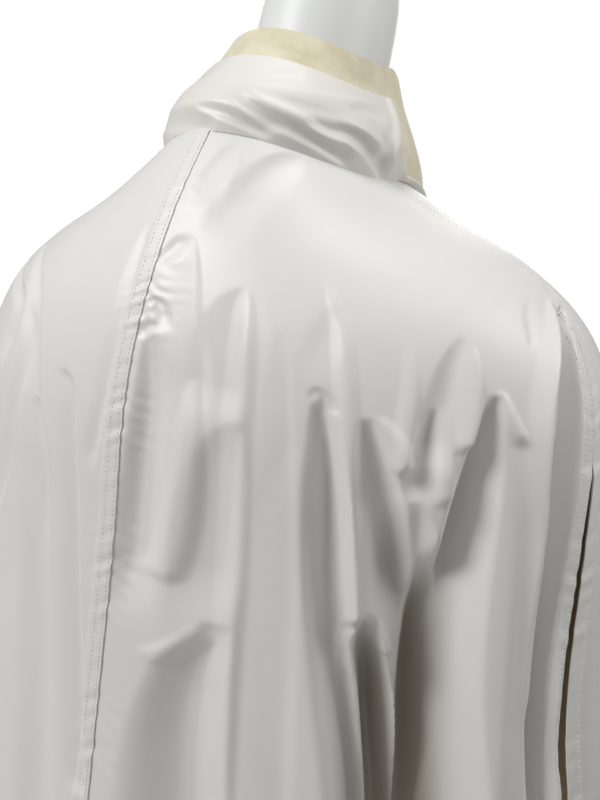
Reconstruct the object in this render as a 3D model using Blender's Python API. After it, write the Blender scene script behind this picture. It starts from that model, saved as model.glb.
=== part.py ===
"""A stand-collar rain cape resting on a limbless dress form with a pole and a round base.

Metres, +Z up. The origin is the centre of the base's underside. The cape's back faces +Y,
and the wearer's right is -X. Angles run round the body in degrees: 0 is the centre back,
90 the right shoulder and side, 180 the centre front, 270 the left shoulder and side.
"""

import math

import bmesh
import bpy
import numpy as np

# Driving sizes
CLOTH_WALL = 0.0016
SEAM_GAP = 0.0003
REST_GAP = 0.0004
LAP_COLUMN_ANGLE = 3.75
BACK_COLUMNS = 22
FRONT_COLUMNS = 22
CAPE_LENGTHS = 18
LENGTH_CROWDING = 1.1
FORM_COLUMN_ANGLE = 7.5
COLLAR_COLUMNS = 36
COLLAR_RING_COUNT = 6
COLLAR_OUTER_WALL = 0.0020
COLLAR_INNER_WALL = 0.0022
COLLAR_OPEN_HALF = 14.0
SLIT_TOP_Z = 1.265
SLIT_BOTTOM_Z = 1.005
SLIT_HALF_WIDTH = 0.009
SIDE_SEAM_TURN = 26.0
SIDE_SEAM_TURN_START = 0.10
SIDE_SEAM_TURN_END = 0.48
LAP_HALF_ANGLE = 7.5
LAP_DEPTH = 0.0024
LAP_EASE_ANGLE = 12.0
BASE_RADIUS = 0.190
BASE_HEIGHT = 0.012
BASE_CHAMFER = 0.003
BASE_STEPS = 64
POLE_RADIUS = 0.015
POLE_STEPS = 24
FLANGE_RADIUS = 0.040
FLANGE_HEIGHT = 0.008
TORSO_BOTTOM_Z = 0.800
SHOULDER_EASE = 0.004
SHARP_ANGLE = 40.0
# How far apart the points lie that give a direction on a surface.
STEP_ANGLE = 0.2
STEP_ALONG = 0.002

# Rings of the cape from the neck seam down to the hem, before its folds.
# The columns give where the ring crosses the centre back, the side and the centre front.
CAPE_RINGS = (
    # along, back_y, back_z, side_x, side_z, front_y, front_z
    (0.00, 0.090, 1.443, 0.080, 1.418, 0.106, 1.374),
    (0.06, 0.119, 1.402, 0.121, 1.396, 0.126, 1.340),
    (0.12, 0.142, 1.359, 0.170, 1.373, 0.142, 1.300),
    (0.18, 0.156, 1.324, 0.209, 1.344, 0.154, 1.256),
    (0.25, 0.167, 1.278, 0.238, 1.298, 0.164, 1.206),
    (0.34, 0.174, 1.206, 0.259, 1.226, 0.174, 1.140),
    (0.45, 0.186, 1.112, 0.282, 1.124, 0.189, 1.052),
    (0.58, 0.205, 0.978, 0.312, 0.982, 0.212, 0.936),
    (0.78, 0.244, 0.742, 0.360, 0.742, 0.250, 0.726),
    (1.00, 0.288, 0.480, 0.412, 0.480, 0.290, 0.480),
)
# The ring is squarer at the front of the neck, and evens out down the shoulders.
FRONT_SQUARENESS = 0.76
SQUARENESS_FADE = 0.14

# Folds: each is a trough that starts at its tip and runs down to the hem.
# The hook is how far its first stretch turns round the body, and the lean how far the rest does.
FOLDS = (
    # angle, tip_along, hook, lean, width, depth
    (3.0, 0.16, 0.0, 6.0, 5.0, 0.006),
    (16.0, 0.34, -6.0, 4.0, 6.0, 0.012),
    (22.0, 0.20, -1.0, 2.0, 5.0, 0.006),
    (30.0, 0.20, 0.0, 6.0, 5.0, 0.011),
    (38.0, 0.22, 4.0, 8.0, 5.0, 0.010),
    (37.0, 0.36, 2.0, 2.0, 5.0, 0.018),
    (59.0, 0.20, -14.0, -3.0, 6.0, 0.015),
    (61.0, 0.30, 0.0, -4.0, 7.0, 0.010),
    (82.0, 0.17, -14.0, -4.0, 5.0, 0.014),
    (98.0, 0.20, -8.0, 2.0, 8.0, 0.016),
    (110.0, 0.28, 0.0, 0.0, 8.0, 0.018),
    (124.0, 0.24, 5.0, 0.0, 8.0, 0.016),
    (142.0, 0.32, 0.0, 2.0, 8.0, 0.014),
    (158.0, 0.26, 0.0, 0.0, 7.0, 0.012),
    (202.0, 0.30, 0.0, 0.0, 7.0, 0.012),
    (219.0, 0.24, -2.0, 0.0, 8.0, 0.016),
    (236.0, 0.30, 0.0, 0.0, 8.0, 0.014),
    (252.0, 0.22, 4.0, 0.0, 8.0, 0.018),
    (266.0, 0.20, 8.0, 0.0, 7.0, 0.014),
    (278.0, 0.17, 14.0, 4.0, 5.0, 0.014),
    (300.0, 0.24, 3.0, 0.0, 6.0, 0.018),
    (314.0, 0.30, 0.0, 0.0, 6.0, 0.014),
    (323.0, 0.13, 16.0, 6.0, 5.0, 0.011),
    (328.0, 0.36, -2.0, 0.0, 6.0, 0.016),
    (353.0, 0.24, 1.0, 2.0, 5.0, 0.006),
)
FOLD_TIP_LENGTH = 0.14
FOLD_GROWTH = 0.9

# Rings of the torso below its shoulders.
TORSO_RINGS = (
    # z, half_width, back_y, front_y
    (1.300, 0.207, 0.126, 0.118),
    (1.250, 0.196, 0.128, 0.126),
    (1.180, 0.176, 0.120, 0.130),
    (1.100, 0.154, 0.104, 0.116),
    (1.030, 0.140, 0.096, 0.102),
    (0.960, 0.150, 0.108, 0.104),
    (0.880, 0.170, 0.126, 0.112),
    (TORSO_BOTTOM_Z, 0.168, 0.122, 0.108),
)
# The torso's shoulders lie under these rings of the cape's panels, and touch them at the sides.
# The shares say how much of the cape's depth they fill at the back and the front.
SHOULDER_RINGS = (
    # panel_ring, back_share, front_share, extra_gap
    (0, 0.90, 0.90, 0.0040),
    (1, 0.88, 0.90, 0.0),
    (2, 0.84, 0.88, 0.0),
    (3, 0.79, 0.86, 0.0),
)
NECK_RINGS = (
    # z, centre_y, half_width, half_depth, tilt
    (1.410, -0.006, 0.0660, 0.0720, 0.34),
    (1.432, -0.016, 0.0540, 0.0580, 0.34),
    (1.465, -0.027, 0.0480, 0.0520, 0.32),
    (1.505, -0.040, 0.0465, 0.0500, 0.30),
    (1.545, -0.053, 0.0460, 0.0490, 0.28),
    (1.558, -0.057, 0.0400, 0.0430, 0.28),
    (1.562, -0.058, 0.0300, 0.0320, 0.28),
)

# Rings of the stand collar: how far up the collar, and where the ring lies there.
COLLAR_RINGS = (
    # up, centre_y, half_width, back_y, front_y
    (0.00, 0.000, 0.0800, 0.0900, 0.1060),
    (0.25, -0.004, 0.0800, 0.0830, 0.1040),
    (0.50, -0.010, 0.0750, 0.0680, 0.1000),
    (0.75, -0.018, 0.0670, 0.0510, 0.0960),
    (1.00, -0.026, 0.0610, 0.0350, 0.0920),
)
COLLAR_HEIGHT_BACK = 0.066
COLLAR_HEIGHT_SIDE = 0.072
COLLAR_HEIGHT_FRONT = 0.062
OUTER_COLLAR_SHARE = 0.72

SHELL_COLOUR = (0.80, 0.79, 0.76, 1.0)
COLLAR_COLOUR = (0.78, 0.72, 0.54, 1.0)
FORM_COLOUR = (0.72, 0.74, 0.71, 1.0)
STEEL_COLOUR = (0.55, 0.55, 0.55, 1.0)
SHELL_ROUGHNESS = 0.38
COLLAR_ROUGHNESS = 0.90
FORM_ROUGHNESS = 0.35
STEEL_ROUGHNESS = 0.30


def clear_scene():
    for item in list(bpy.data.objects):
        bpy.data.objects.remove(item, do_unlink=True)


def material(name, colour, roughness, metallic=0.0):
    made = bpy.data.materials.new(name)
    made.use_nodes = True
    shader = made.node_tree.nodes["Principled BSDF"]
    shader.inputs["Base Color"].default_value = colour
    shader.inputs["Roughness"].default_value = roughness
    shader.inputs["Metallic"].default_value = metallic
    return made


def smooth_step(low, high, value):
    share = min(max((value - low) / (high - low), 0.0), 1.0)
    return share * share * (3.0 - 2.0 * share)


def through(rows, column, along):
    """The smooth curve of one column of a table over its first column."""
    places = [row[0] for row in rows]
    values = [row[column] for row in rows]
    rising = places[0] < places[-1]
    if not rising:
        places.reverse()
        values.reverse()
    slopes = np.gradient(values, places)
    here = min(max(along, places[0]), places[-1])
    k = min(max(int(np.searchsorted(places, here, side="right")) - 1, 0), len(places) - 2)
    span = places[k + 1] - places[k]
    t = (here - places[k]) / span
    start = (2 * t**3 - 3 * t**2 + 1) * values[k] + (t**3 - 2 * t**2 + t) * span * slopes[k]
    end = (3 * t**2 - 2 * t**3) * values[k + 1] + (t**3 - t**2) * span * slopes[k + 1]
    return start + end


def ring_shape(angle, squareness):
    """The sine and cosine that shape a ring. Squareness runs from 0 for an even ring up to 1."""
    turn = math.radians(angle)
    sine = math.sin(turn)
    cosine = math.cos(turn)
    if cosine < 0.0 and squareness > 0.0:
        power = 1.0 + (FRONT_SQUARENESS - 1.0) * squareness
        sine = math.copysign(abs(sine) ** power, sine)
        cosine = math.copysign(abs(cosine) ** power, cosine)
    return sine, cosine


def cape_base(angle, along):
    """A point on the cape before its folds."""
    sine, cosine = ring_shape(angle, 1.0 - along / SQUARENESS_FADE)
    side_x = through(CAPE_RINGS, 3, along)
    side_z = through(CAPE_RINGS, 4, along)
    if cosine >= 0.0:
        depth = through(CAPE_RINGS, 1, along)
        edge_z = through(CAPE_RINGS, 2, along)
    else:
        depth = through(CAPE_RINGS, 5, along)
        edge_z = through(CAPE_RINGS, 6, along)
    height = side_z + (edge_z - side_z) * cosine * cosine
    return np.array((-side_x * sine, depth * cosine, height))


def normal_of(surface, angle, along):
    """The outward normal of a surface(angle, along) that runs round and down."""
    low = max(along - STEP_ALONG, 0.0)
    high = min(along + STEP_ALONG, 1.0)
    across = surface(angle + STEP_ANGLE, along) - surface(angle - STEP_ANGLE, along)
    down = surface(angle, high) - surface(angle, low)
    normal = np.cross(down, across)
    return normal / np.linalg.norm(normal)


def fold_depth(angle, along):
    """How far the folds push the cloth in, in metres."""
    total = 0.0
    for tip_angle, tip, hook, lean, width, depth in FOLDS:
        if along <= tip:
            continue
        run = (along - tip) / (1.0 - tip)
        started = smooth_step(tip, tip + FOLD_TIP_LENGTH, along)
        centre = tip_angle + hook * started + lean * run
        away = (angle - centre + 180.0) % 360.0 - 180.0
        if abs(away) >= width:
            continue
        trough = 0.5 + 0.5 * math.cos(math.pi * away / width)
        total += depth * trough * started * (1.0 + FOLD_GROWTH * run)
    return total


def cape_surface(angle, along):
    """A point on the cape's outer face, with its folds."""
    point = cape_base(angle, along)
    inward = np.array((-point[0], -point[1], 0.0))
    inward /= np.linalg.norm(inward)
    return point + inward * fold_depth(angle, along)


def make_object(name, points, faces, look):
    mesh = bpy.data.meshes.new(name)
    mesh.from_pydata([tuple(point) for point in points], [], faces)
    edit = bmesh.new()
    edit.from_mesh(mesh)
    bmesh.ops.recalc_face_normals(edit, faces=edit.faces)
    bmesh.ops.triangulate(edit, faces=edit.faces)
    edit.to_mesh(mesh)
    edit.free()
    mesh.materials.append(look)
    mesh.shade_smooth()
    mesh.set_sharp_from_angle(angle=math.radians(SHARP_ANGLE))
    made = bpy.data.objects.new(name, mesh)
    bpy.context.scene.collection.objects.link(made)
    return made


def wall(outer, inner):
    """Points and faces of a sheet with two faces, given as grids of points, closed at its edges."""
    rows = len(outer)
    columns = len(outer[0])
    points = [point for row in outer for point in row] + [point for row in inner for point in row]
    inside = rows * columns
    faces = []
    for i in range(rows - 1):
        for j in range(columns - 1):
            a = i * columns + j
            b = a + 1
            c = a + columns + 1
            d = a + columns
            faces.append((a, b, c, d))
            faces.append((inside + d, inside + c, inside + b, inside + a))
    rim = [(0, j) for j in range(columns)]
    rim += [(i, columns - 1) for i in range(1, rows)]
    rim += [(rows - 1, j) for j in range(columns - 2, -1, -1)]
    rim += [(i, 0) for i in range(rows - 2, 0, -1)]
    for (i, j), (m, n) in zip(rim, rim[1:] + rim[:1]):
        a = i * columns + j
        b = m * columns + n
        faces.append((b, a, inside + a, inside + b))
    return points, faces


def slit_opening(height):
    """Half the width of the arm slit at this height."""
    middle = (SLIT_TOP_Z + SLIT_BOTTOM_Z) / 2
    half = (SLIT_TOP_Z - SLIT_BOTTOM_Z) / 2
    reach = abs(height - middle) / half
    if reach >= 1.0:
        return 0.0
    return SLIT_HALF_WIDTH * math.sqrt(1.0 - reach**4)


def panel_lengths():
    """Where the panels' rings lie, closer together over the shoulders."""
    return [(k / CAPE_LENGTHS) ** LENGTH_CROWDING for k in range(CAPE_LENGTHS + 1)]


def side_seam(along):
    """The right side seam's angle. It swings to the back below the shoulder."""
    turned_by = smooth_step(SIDE_SEAM_TURN_START, SIDE_SEAM_TURN_END, along)
    return 90.0 - SIDE_SEAM_TURN * turned_by


def back_angles(along):
    seam = side_seam(along)
    return [seam * k / BACK_COLUMNS for k in range(BACK_COLUMNS + 1)]


def front_angles(along):
    seam = side_seam(along)
    lap_start = 180.0 - LAP_HALF_ANGLE
    angles = [seam + (lap_start - seam) * k / FRONT_COLUMNS for k in range(FRONT_COLUMNS + 1)]
    lap_columns = round(2 * LAP_HALF_ANGLE / LAP_COLUMN_ANGLE)
    return angles + [lap_start + LAP_COLUMN_ANGLE * k for k in range(1, lap_columns + 1)]


def mirrored(angles):
    """The same angles on the body's left side, in rising order."""
    return [360.0 - angle for angle in reversed(angles)]


def panel(name, angles_at, side_edge, lies_under, look):
    """A cape panel. The side edge is the index of its side seam's column, 0 or -1."""
    outer = []
    inner = []
    for along in panel_lengths():
        outer_row = []
        inner_row = []
        angles = angles_at(along)
        last = len(angles) - 1
        for k, angle in enumerate(angles):
            point = cape_surface(angle, along)
            normal = normal_of(cape_surface, angle, along)
            if lies_under:
                near = abs(angle - 180.0)
                under = 1.0 - smooth_step(LAP_HALF_ANGLE, LAP_HALF_ANGLE + LAP_EASE_ANGLE, near)
                point = point - normal * LAP_DEPTH * under
            if k in (0, last):
                sign = 1.0 if k == 0 else -1.0
                ahead = cape_surface(angle + STEP_ANGLE, along)
                tangent = ahead - cape_surface(angle - STEP_ANGLE, along)
                tangent /= np.linalg.norm(tangent)
                shift = SEAM_GAP / 2
                if k == side_edge % (last + 1):
                    shift += slit_opening(point[2])
                point = point + tangent * sign * shift
            outer_row.append(point)
            inner_row.append(point - normal * CLOTH_WALL)
        outer.append(outer_row)
        inner.append(inner_row)
    points, faces = wall(outer, inner)
    return make_object(name, points, faces, look)


def collar_point(angle, up):
    """A point on the collar's outer face. The angle is measured as on the cape."""
    sine, cosine = ring_shape(angle, 1.0 - up)
    centre_y = through(COLLAR_RINGS, 1, up)
    half_width = through(COLLAR_RINGS, 2, up)
    edge_y = through(COLLAR_RINGS, 3 if cosine >= 0.0 else 4, up)
    reach = edge_y - centre_y if cosine >= 0.0 else edge_y + centre_y
    end_height = COLLAR_HEIGHT_BACK if cosine >= 0.0 else COLLAR_HEIGHT_FRONT
    height = COLLAR_HEIGHT_SIDE + (end_height - COLLAR_HEIGHT_SIDE) * cosine * cosine
    base_z = cape_base(angle, 0.0)[2]
    return np.array((-half_width * sine, centre_y + reach * cosine, base_z + height * up))


def collar(name, inset, thickness, reach, look):
    """One layer of the collar: its outer face lies inset inside the collar's outside."""
    start = -180.0 + COLLAR_OPEN_HALF
    end = 180.0 - COLLAR_OPEN_HALF
    outer = []
    inner = []
    for i in range(COLLAR_RING_COUNT + 1):
        up = reach * i / COLLAR_RING_COUNT
        outer_row = []
        inner_row = []
        for k in range(COLLAR_COLUMNS + 1):
            angle = start + (end - start) * k / COLLAR_COLUMNS
            point = collar_point(angle, up) + np.array((0.0, 0.0, SEAM_GAP))
            turn = math.radians(angle)
            outward = np.array((-math.sin(turn), math.cos(turn), 0.0))
            outer_row.append(point - outward * inset)
            inner_row.append(point - outward * (inset + thickness))
        outer.append(outer_row)
        inner.append(inner_row)
    points, faces = wall(outer, inner)
    return make_object(name, points, faces, look)


def closed_rings(rings):
    """Points and faces of a body through closed rings, with flat ends."""
    count = len(rings[0])
    points = [point for ring in rings for point in ring]
    faces = []
    for i in range(len(rings) - 1):
        for j in range(count):
            a = i * count + j
            b = i * count + (j + 1) % count
            faces.append((a, b, b + count, a + count))
    faces.append(tuple(range(count - 1, -1, -1)))
    last = (len(rings) - 1) * count
    faces.append(tuple(range(last, last + count)))
    return points, faces


def form_angles():
    return np.arange(0.0, 360.0, FORM_COLUMN_ANGLE)


def neck_ring(z, centre_y, half_width, half_depth, tilt):
    ring = []
    for angle in form_angles():
        turn = math.radians(angle)
        y = half_depth * math.cos(turn)
        ring.append(np.array((-half_width * math.sin(turn), centre_y + y, z + tilt * y)))
    return ring


def shoulder_ring(panel_ring, back_share, front_share, extra_gap):
    """A ring of the torso that carries the cape along the shoulder line."""
    along = panel_lengths()[panel_ring]
    seat = CLOTH_WALL + REST_GAP + extra_gap
    shoulder = cape_base(90.0, along)
    side = shoulder - normal_of(cape_base, 90.0, along) * seat
    ring = []
    for angle in form_angles():
        turn = math.radians(angle)
        cosine = math.cos(turn)
        share = back_share if cosine >= 0.0 else front_share
        point = cape_base(angle, along)
        drop = side[2] - shoulder[2] - SHOULDER_EASE * cosine * cosine
        ring.append(np.array((side[0] * math.sin(turn), point[1] * share, point[2] + drop)))
    return ring


def torso_ring(z, half_width, back_y, front_y):
    ring = []
    for angle in form_angles():
        turn = math.radians(angle)
        cosine = math.cos(turn)
        depth = back_y if cosine >= 0.0 else front_y
        ring.append(np.array((-half_width * math.sin(turn), depth * cosine, z)))
    return ring


def turned(name, profile, steps, look):
    """A round piece turned about the vertical axis, from (radius, z) points, bottom to top."""
    rings = []
    for radius, z in profile:
        ring = []
        for k in range(steps):
            turn = 2 * math.pi * k / steps
            ring.append((radius * math.cos(turn), radius * math.sin(turn), z))
        rings.append(ring)
    points, faces = closed_rings(rings)
    return make_object(name, points, faces, look)


def build_cape():
    shell = material("shell", SHELL_COLOUR, SHELL_ROUGHNESS)
    panel("back_right", back_angles, -1, False, shell)
    panel("back_left", lambda along: mirrored(back_angles(along)), 0, False, shell.copy())
    panel("front_right", front_angles, 0, False, shell.copy())
    panel("front_left", lambda along: mirrored(front_angles(along)), -1, True, shell.copy())


def build_collar():
    outer_look = material("collar shell", SHELL_COLOUR, SHELL_ROUGHNESS)
    inner_look = material("collar nap", COLLAR_COLOUR, COLLAR_ROUGHNESS)
    collar("collar_outer", 0.0, COLLAR_OUTER_WALL, OUTER_COLLAR_SHARE, outer_look)
    inset = COLLAR_OUTER_WALL + REST_GAP
    collar("collar_inner", inset, COLLAR_INNER_WALL, 1.0, inner_look)


def build_form():
    form_look = material("form", FORM_COLOUR, FORM_ROUGHNESS)
    rings = [torso_ring(*row) for row in reversed(TORSO_RINGS)]
    rings += [shoulder_ring(*row) for row in reversed(SHOULDER_RINGS)]
    rings += [neck_ring(*row) for row in NECK_RINGS]
    points, faces = closed_rings(rings)
    make_object("form_torso", points, faces, form_look)

    steel = material("steel", STEEL_COLOUR, STEEL_ROUGHNESS, 1.0)
    pole_top = TORSO_BOTTOM_Z - SEAM_GAP
    pole_profile = (
        (POLE_RADIUS, BASE_HEIGHT + SEAM_GAP),
        (POLE_RADIUS, pole_top - FLANGE_HEIGHT),
        (FLANGE_RADIUS, pole_top - FLANGE_HEIGHT),
        (FLANGE_RADIUS, pole_top),
    )
    turned("form_pole", pole_profile, POLE_STEPS, steel)
    base_profile = (
        (BASE_RADIUS, 0.0),
        (BASE_RADIUS, BASE_HEIGHT - BASE_CHAMFER),
        (BASE_RADIUS - BASE_CHAMFER, BASE_HEIGHT),
    )
    turned("form_base", base_profile, BASE_STEPS, steel.copy())


clear_scene()
build_cape()
build_collar()
build_form()
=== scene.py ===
"""Looks for a stand-collar rain cape that rests on a limbless dress form.

Metres, +Z up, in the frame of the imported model. The cape's back faces +Y and the wearer's right
is -X. Angles run round the body in degrees: 0 is the centre back, 90 the right side, 180 the
centre front and 270 the left side. Along runs from 0 at the neck seam to 1 at the hem.
"""

import math

import bmesh
import bpy
import numpy as np
from mathutils import Matrix


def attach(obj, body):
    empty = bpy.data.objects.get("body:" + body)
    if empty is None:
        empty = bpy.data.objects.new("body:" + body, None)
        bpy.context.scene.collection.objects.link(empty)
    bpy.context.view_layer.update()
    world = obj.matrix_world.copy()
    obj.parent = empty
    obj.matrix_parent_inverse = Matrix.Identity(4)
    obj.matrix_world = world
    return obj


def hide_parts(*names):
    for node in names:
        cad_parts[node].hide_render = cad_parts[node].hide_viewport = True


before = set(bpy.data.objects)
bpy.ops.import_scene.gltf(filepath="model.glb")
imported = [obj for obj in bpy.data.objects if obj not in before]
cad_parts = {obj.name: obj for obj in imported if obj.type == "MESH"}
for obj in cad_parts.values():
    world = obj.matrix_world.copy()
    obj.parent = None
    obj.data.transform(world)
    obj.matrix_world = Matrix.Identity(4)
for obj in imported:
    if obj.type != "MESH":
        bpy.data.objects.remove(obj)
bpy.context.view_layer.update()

MM = 0.001

# The photograph's camera.
CAMERA_PLACE = (-0.3785, 0.5906, 1.4279)
CAMERA_AZIMUTH = 211.3
CAMERA_ELEVATION = 13.8
CAMERA_ROLL = 3.0
CAMERA_LENS = 44.1
CAMERA_SENSOR = 36.0
CAMERA_NEAR = 0.02

# The lights, placed from what they light by the picture's right, up and back.
SUBJECT = np.array((-0.05, 0.10, 1.20))
COLLAR_MIDDLE = np.array((-0.02, 0.0, 1.46))
WHITE = (1.0, 1.0, 1.0)
LIGHTS = (
    # name, target, side, height, behind, size, power, colour
    ("key", SUBJECT, -1.6, 1.55, 1.10, 1.0, 38.5, (1.0, 0.998, 0.99)),
    ("top", SUBJECT, 0.3, 2.6, 0.5, 1.1, 17.0, WHITE),
    ("collar light", COLLAR_MIDDLE, 0.9, 0.45, 0.35, 0.5, 4.2, (1.0, 0.985, 0.96)),
    ("side", SUBJECT, 2.2, 0.8, 0.0, 0.9, 2.0, (1.0, 0.94, 0.86)),
    ("front", SUBJECT, 0.6, 1.6, -3.2, 1.6, 26.0, WHITE),
)
# The white background's brightness as a light. The camera sees it at 1.
WORLD_LIGHT = 0.19
FLOOR_REACH = 40.0

# The cape's sizes, as in its solids.
SEAM_GAP = 0.0003
REST_GAP = 0.0004
COLLAR_OUTER_WALL = 0.0020
COLLAR_INNER_WALL = 0.0022
COLLAR_OPEN_HALF = 14.0
SLIT_TOP_Z = 1.265
SLIT_BOTTOM_Z = 1.005
SIDE_SEAM_TURN = 26.0
SIDE_SEAM_TURN_START = 0.10
SIDE_SEAM_TURN_END = 0.48
LAP_HALF_ANGLE = 7.5
LAP_DEPTH = 0.0024
LAP_EASE_ANGLE = 12.0
CAPE_LENGTH = 1.02
CAPE_RINGS = (
    # along, back_y, back_z, side_x, side_z, front_y, front_z
    (0.00, 0.090, 1.443, 0.080, 1.418, 0.106, 1.374),
    (0.06, 0.119, 1.402, 0.121, 1.396, 0.126, 1.340),
    (0.12, 0.142, 1.359, 0.170, 1.373, 0.142, 1.300),
    (0.18, 0.156, 1.324, 0.209, 1.344, 0.154, 1.256),
    (0.25, 0.167, 1.278, 0.238, 1.298, 0.164, 1.206),
    (0.34, 0.174, 1.206, 0.259, 1.226, 0.174, 1.140),
    (0.45, 0.186, 1.112, 0.282, 1.124, 0.189, 1.052),
    (0.58, 0.205, 0.978, 0.312, 0.982, 0.212, 0.936),
    (0.78, 0.244, 0.742, 0.360, 0.742, 0.250, 0.726),
    (1.00, 0.288, 0.480, 0.412, 0.480, 0.290, 0.480),
)
FRONT_SQUARENESS = 0.76
SQUARENESS_FADE = 0.14
COLLAR_RINGS = (
    # up, centre_y, half_width, back_y, front_y
    (0.00, 0.000, 0.0800, 0.0900, 0.1060),
    (0.25, -0.004, 0.0800, 0.0830, 0.1040),
    (0.50, -0.010, 0.0750, 0.0680, 0.1000),
    (0.75, -0.018, 0.0670, 0.0510, 0.0960),
    (1.00, -0.026, 0.0610, 0.0350, 0.0920),
)
COLLAR_HEIGHT_BACK = 0.066
COLLAR_HEIGHT_SIDE = 0.072
COLLAR_HEIGHT_FRONT = 0.062
OUTER_COLLAR_SHARE = 0.72

# Thinner cloth and a tighter arm slit than in the solids.
CLOTH = 0.0011
SLIT_HALF_WIDTH = 0.0022

# The collar's soft shape: its puff, and the floor that its wrinkles ease into.
COLLAR_PUFF = 0.0055
COLLAR_DEEPEST = 0.0012
COLLAR_FLOOR_EASE = 0.0010
# The collar's lower edge hangs a little over its seam.
COLLAR_SEAT = -0.0012
COLLAR_OVERHANG = 0.0012
# In front of these angles the collar rolls outwards, and shows its cream side.
COLLAR_ROLL_START = 86.0
COLLAR_ROLL_END = 94.0
COLLAR_ROLL_CUT = 0.90
COLLAR_FLARE = 0.0060
COLLAR_FLARE_FADE = 0.6

# Broad folds from the right side round the front to the left back, as in the solids.
# Each is a trough from its tip down to the hem.
BROAD_FOLDS = (
    # angle, tip_along, hook, lean, width, depth
    (98.0, 0.20, -8.0, 2.0, 8.0, 0.016),
    (110.0, 0.28, 0.0, 0.0, 8.0, 0.018),
    (124.0, 0.24, 5.0, 0.0, 8.0, 0.016),
    (142.0, 0.32, 0.0, 2.0, 8.0, 0.014),
    (158.0, 0.26, 0.0, 0.0, 7.0, 0.012),
    (202.0, 0.30, 0.0, 0.0, 7.0, 0.012),
    (219.0, 0.24, -2.0, 0.0, 8.0, 0.016),
    (236.0, 0.30, 0.0, 0.0, 8.0, 0.014),
    (252.0, 0.22, 4.0, 0.0, 8.0, 0.018),
    (266.0, 0.20, 8.0, 0.0, 7.0, 0.014),
    (278.0, 0.17, 14.0, 4.0, 5.0, 0.014),
    (300.0, 0.24, 3.0, 0.0, 6.0, 0.018),
    (314.0, 0.30, 0.0, 0.0, 6.0, 0.014),
    (328.0, 0.36, -2.0, 0.0, 6.0, 0.016),
)
FOLD_TIP_LENGTH = 0.14
FOLD_GROWTH = 0.9

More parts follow.
